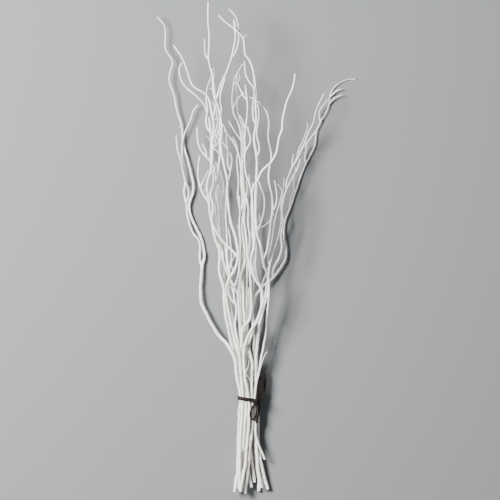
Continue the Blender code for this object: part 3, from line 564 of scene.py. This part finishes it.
def rooted(parent, middles, sizes):
    line, thick, swells = grown[parent]
    row = nearest_row(line, middles[0])
    set_back = PARENT_SHARE * thick[row] + SHOOT_SHARE * sizes[0]
    row_back = max(0, row - int(set_back / RING_STEP) - 1)
    way, side, lift = frames_along(line)
    out = middles[0] - line[row]
    turn = math.atan2(float(out @ lift[row]), float(out @ side[row]))
    along = length_along(line)
    width = set_back * SWELL_SHARE + SWELL_EXTRA
    swells.append(((along[row] + along[row_back]) / 2, turn, ROOT_SWELL, width))
    first = min(thick[row_back] * THINNER_THAN_PARENT, sizes[0] * THICKER_THAN_SHOOT)
    return np.vstack([line[row_back], middles]), np.concatenate([[first], sizes])


# %% [markdown]
# The stems are laid first, then the shoots in order, so that every parent has its final line before
# anything is rooted in it. The collar at a shoot's root dies away over the first two centimetres. The
# outermost branches at the left and the right end finer than their tubes, as in the photograph.

# %% Lay the centre lines
COLLAR_LENGTH = 4 * MM
COLLAR_FADE = 6 * MM
COLLAR_SWELL = 0.25
FINE_TIPS = ("stem_01", "stem_15", "shoot_15a", "shoot_15b", "shoot_15c")
FINE_TIP_LOSS = 0.3
grown = {}
for seed, name in enumerate(sorted(branch_nodes, key=lambda n: (n.startswith("shoot"), n))):
    middles, sizes = rings[name]
    if name in PARENTS:
        middles, sizes = rooted(PARENTS[name], middles, sizes)
    line, thick = flow(middles, sizes, RING_STEP)
    line = wander(line, thick, seed)
    if name in PARENTS:
        collar = np.exp(-np.maximum(0, length_along(line) - COLLAR_LENGTH) / COLLAR_FADE)
        thick = thick * (1 + COLLAR_SWELL * collar)
    if name in FINE_TIPS:
        share = length_along(line) / length_along(line)[-1]
        thick = thick * (1 - FINE_TIP_LOSS * share ** 2)
    grown[name] = (line, thick, [])
total = sum(length_along(line)[-1] for line, thick, swells in grown.values())
print("centre lines", len(grown), "length in all", round(total, 1), "m")

# %% [markdown]
# ## The finest twigs
# The photograph shows many twigs that are too fine and too many for the fixed model. Each is a line on the
# squared paper that starts on its parent. Before the line come its thickness at the root and at the tip,
# and how far the tip rises above the fork, all in mm. The spurs are the shortest ones, all equally thick.

# %% Routes of the fine twigs
TWIGS = [
    ("shoot_02a", 2.4, 1.6, 10, "-42.6,299 -44,302.5 -47,306"),
    ("stem_02", 2.6, 1.8, 6, "-35.5,396.5 -36,407 -37.2,414 -36.2,421"),
    ("shoot_02a", 2.6, 1.8, -4, "-38.4,350 -37.2,355 -35.3,364 -33,373 -34.2,383 -35.6,392"),
    ("shoot_02a", 2.4, 1.8, 8, "-38.5,346 -36.2,348.8 -33.9,351.1 -31.9,355.1"),
    ("shoot_02a", 2.4, 1.6, 12, "-38.6,346 -35.9,346.5 -34.2,344.8 -32.5,342.8"),
    ("shoot_02a", 2.4, 1.8, 4, "-38.4,349 -35.4,351.9 -35.1,354.8 -34.5,357.7 -33.4,361.1 -33.1,365.7"),
    ("stem_04", 3.0, 2.0, 6, "-34,325 -34,329 -36.2,333.6 -37,339.9 -37.1,345.6 -37.1,351.4"),
    ("stem_05", 3.5, 2.8, 8, "-31,262 -31,270 -32,280 -32.8,291 -33.2,300 -33.2,308"),
    ("stem_16", 4.4, 3.6, 0, "-1.3,160 -1.6,170 -1.1,180 -1.0,190 -1.6,199 -2.2,208"),
    ("stem_15", 3.4, 3.0, 14, "11,207.5 12,212.5 13.4,216.5 15.3,221.5 16.4,225 17.3,229"),
    ("stem_10", 4.0, 3.4, 8, "12,184 12.6,187.5 13.6,194 14.6,201 15.6,208 16.6,214 17.5,219"),
    ("shoot_02a", 1.8, 1.4, 6, "-38,376.9 -34.5,376.7 -31,376.2"),
    ("stem_03", 2.2, 1.6, 8, "-39.7,351 -41,355.8 -45,360.5"),
    ("stem_02", 2.6, 1.8, 12, "-17,224.5 -19.5,231 -18.6,235 -16.6,238.5 -17,243"),
    ("stem_07", 2.4, 1.6, 6, "-17.3,411 -13.3,413 -10.8,417 -12,422.5"),
    ("stem_07", 2.4, 1.6, 8, "-18,387 -13.3,396.5 -8.3,401.5 -5.8,403.5"),
    ("stem_10", 2.4, 1.6, 8, "5.8,263 8.6,267.5 13,269.5 20,276"),
    ("stem_10", 2.2, 1.6, 4, "5.8,260 8.9,270 8.9,279 6.3,286"),
    ("shoot_15f", 2.6, 1.8, 6, "43.8,334 46,341.5 48.4,348.5 52.2,355.5 54.6,361.7 57,368 56.6,373"),
    ("shoot_15e", 2.4, 1.6, -6, "45,324.5 45.5,334.5 47.3,342 52.3,350.3"),
    ("stem_14", 2.2, 1.5, 6, "31.8,302 33.2,313 33.3,318"),
    ("stem_15", 2.2, 1.5, 8, "44.6,303 43.6,307 43,312 43.6,321"),
    ("stem_15", 2.2, 1.5, 6, "38.4,285 40,297 42.8,305"),
    ("stem_09", 2.2, 1.5, 10, "-9.9,259 -11.4,264 -13,270.5"),
    ("stem_12", 2.0, 1.5, 6, "-2.5,314 -1.4,317 -2.2,321"),
    ("stem_14", 2.8, 1.8, 8, "7.8,120 10,127.5 11.9,134 13,137.8 14.2,140.6 16,143.7"),
    ("stem_12", 3.4, 2.2, 44, "2.5,114.5 -1.2,118.3 -3.8,120.7 -4.7,123.2 -2.6,128.2 -1.6,135"),
    ("stem_01", 2.2, 1.5, 6, "-12.2,77 -13.2,80 -13.4,84 -12.2,88"),
    ("stem_05", 2.4, 1.6, 8, "-26.5,243 -29.5,248 -33.5,252"),
    ("stem_06", 2.4, 1.6, 8, "-6.8,296 -4.2,301 -3.4,308 -4.6,315"),
    ("stem_08", 2.2, 1.6, 6, "-5.9,326 -8.6,331 -9.4,338"),
    ("stem_04", 2.2, 1.6, 8, "-33,318 -35.4,323 -35.2,330"),
    ("stem_10", 2.2, 1.6, 8, "-16,465.5 -15,471 -17.4,476"),
]
SPURS = [
    ("stem_01", "-50.2,199 -52.6,199.6"), ("stem_01", "-69.2,368.5 -72.2,369.2"),
    ("stem_02", "-39.2,424 -36.3,427.3"), ("stem_02", "-38.5,420 -36.2,424.2"),
    ("stem_02", "-37.8,406 -41.5,407.4"), ("stem_03", "-31.5,227 -33.6,228.6"),
    ("stem_10", "-7.3,456.5 -4.3,460.5"), ("stem_12", "2.2,245 0.6,248.4"),
    ("stem_14", "28.4,264 31.2,266.4"), ("shoot_10d", "21.4,283 23.2,280.6"),
    ("stem_10", "5.4,309 3.2,310.5 1.3,312.6"),
]
SPUR = (2.0, 1.5, 2)
print("routes", len(TWIGS) + len(SPURS))

# %% [markdown]
# A twig has to start on the parent's finished line, which has wandered a little from the paper. The whole
# route is drawn over to it, most at the root and not at all at the tip, and it stays above the table.

# %% Lay the fine twigs
RISE_BEND = 1.2
ABOVE_TABLE = 1.2
FORK_SWELL, FORK_WIDTH = 0.1, 2.5 * MM
TWIG_COLLAR = 0.35
TWIG_COLLAR_FADE = 4 * MM


def twig_line(parent, thick_root, thick_tip, rise, text):
    line, thick, swells = grown[parent]
    flat = on_paper(text)
    row = nearest_row(line[:, :2], flat[0])
    fade = np.linspace(1, 0, len(flat))[:, None] ** 2
    flat = flat + (line[row][:2] - flat[0]) * fade
    run = length_along(np.column_stack([flat, np.zeros(len(flat))]))
    height = line[row][2] + rise * MM * (run / run[-1]) ** RISE_BEND
    sizes = np.interp(run / run[-1], [0, 1], [thick_root / 2 * MM, thick_tip / 2 * MM])
    height = np.maximum(height, sizes * ABOVE_TABLE)
    swells.append((length_along(line)[row], 0.0, FORK_SWELL, FORK_WIDTH))
    line, thick = flow(np.column_stack([flat, height]), sizes, RING_STEP)
    return line, thick * (1 + TWIG_COLLAR * np.exp(-length_along(line) / TWIG_COLLAR_FADE))


twigs = [twig_line(*row) for row in TWIGS]
twigs += [twig_line(parent, *SPUR, text) for parent, text in SPURS]
print("fine twigs and spurs", len(twigs))

# %% [markdown]
# ## Skin everything
# One object for each branch of the fixed model, which it stands for, and one for all the fine twigs. Each
# branch has its own seed, its number in the list, so every run of this lesson grows the same bundle.

# %% Skin the branches
faces_made = 0
for seed, (name, (line, thick, swells)) in enumerate(grown.items()):
    skin, along = bark_skin(line, thick, seed, swells)
    branch = mesh_from_skins("willow_" + name, [(skin, along, thick, CUT_FACE)],
                             [painted_bark, cut_wood])
    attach(branch, "root")
    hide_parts(name)
    faces_made += len(branch.data.polygons)
print("branches", len(grown), "faces", faces_made)

# %% Skin the twigs
FIRST_TWIG_SEED = 300
skins = []
for seed, (line, thick) in enumerate(twigs, FIRST_TWIG_SEED):
    line = wander(line, thick, seed)
    skin, along = bark_skin(line, thick, seed)
    skins.append((skin, along, thick, CUT_FACE))
fine = mesh_from_skins("willow_fine_twigs", skins, [painted_bark, cut_wood])
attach(fine, "root")
print("twigs", len(skins), "faces", len(fine.data.polygons))

# %% [markdown]
# ## The twine
# The tie is a dark brown jute twine, 5 mm thick, made of three strands laid together. Its fibres are
# coarse and dull and stand up in a short fuzz. A plain tube would look like wire, so each strand is swept
# on its own, turning round the twine's centre line once every 11 mm. The fibres run along each strand and
# are drawn 0.25 mm wide, coarser than real jute, so that they show.

# %% Jute material
FIBRE_WIDTH = 0.25 * MM
FIBRE_LENGTH = 4 * MM
FIBRE_RELIEF = 0.2 * MM


def jute_material():
    material, tree, surface = new_material("dark_brown_dyed_jute", roughness=0.88, specular=0.2)
    fibres = add_node(tree, "ShaderNodeTexNoise", {"Scale": 1.0, "Detail": 3.0, "Roughness": 0.6},
                      Vector=stretched(tree, FIBRE_WIDTH, FIBRE_LENGTH))
    tone = colour_ramp(tree, fibres.outputs["Fac"], [(0.28, linear("#0A0706")), (0.5, linear("#1B120E")),
                                                     (0.72, linear("#2E2119"))])
    tree.links.new(tone, surface.inputs["Base Color"])
    bump = add_node(tree, "ShaderNodeBump", {"Strength": 0.7, "Distance": FIBRE_RELIEF},
                    Height=fibres.outputs["Fac"])
    tree.links.new(bump.outputs["Normal"], surface.inputs["Normal"])
    surface.inputs["Sheen Weight"].default_value = 0.05
    surface.inputs["Sheen Roughness"].default_value = 0.6
    return material


jute = jute_material()
print("material", jute.name)

# %% Three strands round one line
TWINE_RADIUS = 2.4 * MM
TWINE_STEP = 0.8 * MM
LAY_LENGTH = 11.0 * MM
STRAND_CORNERS = 7
STRAND_OFFSET = 0.46
STRAND_SHARE = 0.54
STRAND_LUMPS, LUMP_WAVE = 0.03, 0.0023


def even_line(points, step):
    along = length_along(points)
    count = max(4, int(along[-1] / step))
    at = np.linspace(0, along[-1], count + 1)
    return np.column_stack([np.interp(at, along, points[:, k]) for k in range(3)])


def twisted(line, across=None):
    way, side, lift = frames_along(line)
    if across is not None:
        side = np.tile(np.array(across), (len(line), 1))
        lift = np.cross(side, way)
        lift /= np.linalg.norm(lift, axis=1)[:, None]
    along = length_along(line)
    turns = max(1, round(along[-1] / LAY_LENGTH))
    angle, ring = corners_round(side, lift, STRAND_CORNERS)
    skins = []
    for strand in range(3):
        turn = 2 * math.pi * (turns * along / along[-1] + strand / 3)
        out = side * np.cos(turn)[:, None] + lift * np.sin(turn)[:, None]
        middle_line = line + out * TWINE_RADIUS * STRAND_OFFSET
        reach = TWINE_RADIUS * (STRAND_SHARE + STRAND_LUMPS * np.sin(along / LUMP_WAVE + strand))
        points = middle_line[:, None, :] + ring * reach[:, None, None]
        skins.append((points, along, np.full(len(line), TWINE_RADIUS * STRAND_SHARE), SKIN_FACE))
    return skins


print("one strand is about", round(2 * TWINE_RADIUS * STRAND_SHARE / MM, 1), "mm thick")

# %% [markdown]
# The twine is pulled tight, so its turns follow the outline that a rubber band would take round the
# stems. For every direction, the stem that reaches furthest that way carries the twine. Each stem counts 6 %
# thicker than its centre line says, for its ribs, and the twine beds into it very slightly. The two turns
# lie side by side, and both slope a little, as in the photograph.

# %% Two tight turns
TIE_Y = float(paper_place(0.0, 96.0).y)
TIE_SLOPE = -0.15
TURN_LEAN = -0.15
WAIST_X = float(paper_place(-2.3, 0.0).x)
BARK_ALLOWANCE = 1.06
BEDDED_IN = 0.98
EVERY_DEGREES = 3.0
SAME_PLACE = 1e-6
ALONG_STEMS = (0.0, 1.0, 0.0)


def stems_at(y):
    found = []
    for name, (line, thick, swells) in grown.items():
        if name.startswith("stem") and line[0][1] < y < line[-1][1]:
            row = int(np.argmin(np.abs(line[:, 1] - y)))
            found.append((line[row][0], line[row][2], thick[row]))
    return np.array(found)


def tight_turn(y, lean):
    found = stems_at(y)
    angle = np.radians(np.arange(0, 361, EVERY_DEGREES))
    out = np.stack([np.cos(angle), np.sin(angle)], axis=1)
    reach = found[:, 2] * BARK_ALLOWANCE + TWINE_RADIUS * BEDDED_IN
    outer = np.argmax(out @ found[:, :2].T + reach, axis=1)
    route = found[outer, :2] + out * reach[outer][:, None]
    slope = TIE_SLOPE * (route[:, 0] - WAIST_X)
    line = np.column_stack([route[:, 0], y + slope + lean * np.sin(angle), route[:, 1]])
    line = line[np.concatenate([[True], np.linalg.norm(np.diff(line, axis=0), axis=1) > SAME_PLACE])]
    line[-1] = line[0]
    return even_line(line, TWINE_STEP)


for name, apart in (("twine_turn_lower", -2.6 * MM), ("twine_turn_upper", 2.6 * MM)):
    line = tight_turn(TIE_Y + apart, TURN_LEAN * apart)
    turn = mesh_from_skins("jute_" + name, twisted(line, across=ALONG_STEMS), [jute])
    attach(turn, "root")
    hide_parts(name)
    print(name, "length", round(length_along(line)[-1] * 1000), "mm")

# %% [markdown]
# ## The knot and the bow
# The knot is a single overhand knot pulled small. A trefoil curve is exactly that knot with its ends
# joined. Its waves are brought to a size of about one and then stretched to the room of the modelled knot.

# %% Knot
KNOT_FILL = 0.9
KNOT_STEP = 0.6 * MM
NEARLY_UP = (0.05, 0.1, 0.99)
low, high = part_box("twine_knot")
knot_middle = np.array((low + high) / 2)
room = np.array((high - low) / 2) - TWINE_RADIUS * KNOT_FILL
t = np.linspace(0, 2 * math.pi, 90)
trefoil = np.column_stack([(np.sin(t) + 2 * np.sin(2 * t)) / 2.7,
                           (np.cos(t) - 2 * np.cos(2 * t)) / 3.0,
                           -np.sin(3 * t)])
knot_line = even_line(knot_middle + trefoil * room, KNOT_STEP)
knot = mesh_from_skins("jute_knot", twisted(knot_line, across=NEARLY_UP), [jute])
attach(knot, "root")
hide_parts("twine_knot")
print("knot line", round(length_along(knot_line)[-1] * 1000), "mm")

# %% [markdown]
# The loops and tails follow their tubes, and each is led on into the knot, where the ends disappear. The
# list says where on the paper each tube is read from, and whether it comes back to the knot.

# %% Loops and tails
BOW = {
    "twine_loop_upper": ((6.2, 98.1), True), "twine_loop_lower": ((3.7, 91.2), True),
    "twine_tail_upper": ((10.9, 96.6), False), "twine_tail_lower": ((8.2, 91.6), False),
}
BOW_CORNERS = 5
INTO_KNOT = np.array([0.35, 0.35, 0.3])
bow_lines = {}
for name, (start, both) in BOW.items():
    middles, sizes = rings_of(name, BOW_CORNERS, paper_place(*start))
    inside = knot_middle + (middles[0] - knot_middle) * INTO_KNOT
    middles = np.vstack([inside, middles])
    if both:
        inside = knot_middle + (middles[-1] - knot_middle) * INTO_KNOT
        middles = np.vstack([middles, inside])
    line, thick = flow(middles, np.full(len(middles), TWINE_RADIUS), TWINE_STEP)
    bow_lines[name] = line
    strand = mesh_from_skins("jute_" + name, twisted(line), [jute])
    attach(strand, "root")
    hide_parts(name)
    print(name, "length", round(length_along(line)[-1] * 1000), "mm")

# %% [markdown]
# Jute sheds a short fuzz. Each hair is a thin three-sided sliver that leaves the twine at a random slant.
# The cut tails fray into a small brush, so more hairs go there, pointing along the twine.

# %% Fuzz along the bow and the knot
HAIR_EVERY = 1.3 * MM
HAIR_LENGTH = (1.6, 3.4)
HAIR_THICKNESS = 0.07 * MM
HAIR_TIP = 0.35
HAIR_ROOT = 0.6


def hair(points, thick):
    line = np.array(points)
    way, side, lift = frames_along(line)
    angle, ring = corners_round(side, lift, 3)
    reach = thick * np.linspace(1.0, HAIR_TIP, len(line))
    return line[:, None, :] + ring * reach[:, None, None], length_along(line), reach, SKIN_FACE


chance = np.random.default_rng(7)
hairs = []
for name, line in list(bow_lines.items()) + [("knot", knot_line)]:
    for count in range(int(length_along(line)[-1] / HAIR_EVERY)):
        row = int(chance.integers(1, len(line) - 1))
        out = chance.normal(size=3)
        out /= np.linalg.norm(out)
        along_way = (line[row + 1] - line[row - 1]) * 0.5 / TWINE_STEP
        way = out + along_way * chance.uniform(-0.8, 0.8)
        root = line[row] + out * TWINE_RADIUS * HAIR_ROOT
        size = chance.uniform(*HAIR_LENGTH) * MM
        bend = chance.normal(size=3) * 0.25
        hairs.append(hair([root, root + way * size * 0.5, root + (way + bend) * size], HAIR_THICKNESS))
print("hairs along the twine", len(hairs))

# %% Frayed tails
FRAY_HAIRS = 26
FRAY_LENGTH = (2.0, 4.5)
FRAY_THICKNESS = 0.09 * MM
for name in ("twine_tail_upper", "twine_tail_lower"):
    line = bow_lines[name]
    end_way = (line[-1] - line[-4]) / np.linalg.norm(line[-1] - line[-4])
    for count in range(FRAY_HAIRS):
        out = chance.normal(size=3) * 0.35
        root = line[-2] + out * TWINE_RADIUS
        size = chance.uniform(*FRAY_LENGTH) * MM
        middle_point = root + (end_way + 0.3 * out) * size * 0.5
        hairs.append(hair([root, middle_point, root + (end_way + out) * size], FRAY_THICKNESS))
fuzz = mesh_from_skins("jute_fuzz", hairs, [jute])
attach(fuzz, "root")
print("hairs in all", len(hairs))

# %% [markdown]
# ## Table and light
# The table is a plain pale grey sheet. It is kept a good step darker than the paint, or white branches
# would vanish on it. One large soft light stands at the left, as in the photograph, whose stems are
# brightest on their left sides, and a weak one at the right opens the shadows.

# %% Table
TABLE_HALF = 15.0
TABLE_DROP = 0.0002
GRAIN_PER_METRE = 900.0


def table_material():
    material, tree, surface = new_material("pale_grey_paper", roughness=0.9, specular=0.2)
    grain = add_node(tree, "ShaderNodeTexNoise", {"Scale": GRAIN_PER_METRE, "Detail": 2.0},
                     Vector=add_node(tree, "ShaderNodeTexCoord").outputs["Object"])
    tone = colour_ramp(tree, grain.outputs["Fac"], [(0.3, linear("#757779")), (0.7, linear("#797B7D"))])
    tree.links.new(tone, surface.inputs["Base Color"])
    return material


bm = bmesh.new()
bmesh.ops.create_grid(bm, x_segments=2, y_segments=2, size=TABLE_HALF)
table_mesh = bpy.data.meshes.new("table")
bm.to_mesh(table_mesh)
bm.free()
table = bpy.data.objects.new("table", table_mesh)
table_mesh.materials.append(table_material())
table.location.z = -TABLE_DROP
bpy.context.scene.collection.objects.link(table)
print("table", 2 * TABLE_HALF, "m wide")


# %% Lights
def soft_light(name, place, size, power):
    data = bpy.data.lights.new(name, "AREA")
    data.shape = "SQUARE"
    data.size = size
    data.energy = power
    light = bpy.data.objects.new(name, data)
    light.location = place
    light.rotation_euler = (-Vector(place)).to_track_quat("-Z", "Y").to_euler()
    bpy.context.scene.collection.objects.link(light)


soft_light("key_left", (-2.3, 0.9, 2.9), size=1.4, power=600.0)
soft_light("fill_right", (2.4, -0.9, 2.6), size=2.4, power=12.0)
world = bpy.data.worlds.new("studio")
world.use_nodes = True
background = world.node_tree.nodes["Background"]
background.inputs["Color"].default_value = linear("#DADDE0")
background.inputs["Strength"].default_value = 0.2
bpy.context.scene.world = world
